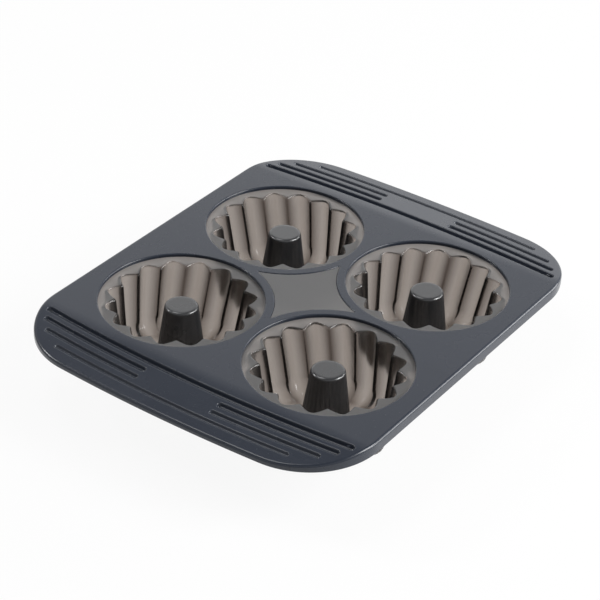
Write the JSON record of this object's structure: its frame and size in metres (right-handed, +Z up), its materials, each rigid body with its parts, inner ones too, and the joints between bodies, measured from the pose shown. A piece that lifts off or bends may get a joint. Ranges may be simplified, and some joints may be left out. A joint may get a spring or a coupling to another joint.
{
  "type": "silicone mini kugelhopf mould",
  "caption": "Flexible baking mould: dark frame with ribbed grip ends, see-through fluted ring cups with hollow centre cores, and a star-shaped window between the cups.",
  "frame": {"origin": "centre of the mould in plan, on the surface that its four cups stand on", "axes": "+Z up, out of the cups; +Y along the longer side, from one ribbed grip to the other; +X across the mould"},
  "size_m": [0.186, 0.235, 0.038],
  "materials": {
    "frame_silicone": "opaque dark slate silicone, satin with a fine matt grain",
    "cup_silicone": "see-through warm grey silicone, smooth and slightly glossy",
    "window_silicone": "see-through grey silicone, satin",
    "core_silicone": "opaque near-black silicone, satin with fine upright lines"
  },
  "bodies": {
    "root": {"frame": "frame_silicone", "centre_window": "window_silicone", "cup_back_left": "cup_silicone", "cup_back_right": "cup_silicone", "cup_front_left": "cup_silicone", "cup_front_right": "cup_silicone", "core_back_left": "core_silicone", "core_back_right": "core_silicone", "core_front_left": "core_silicone", "core_front_right": "core_silicone"}
  },
  "joints": []
}
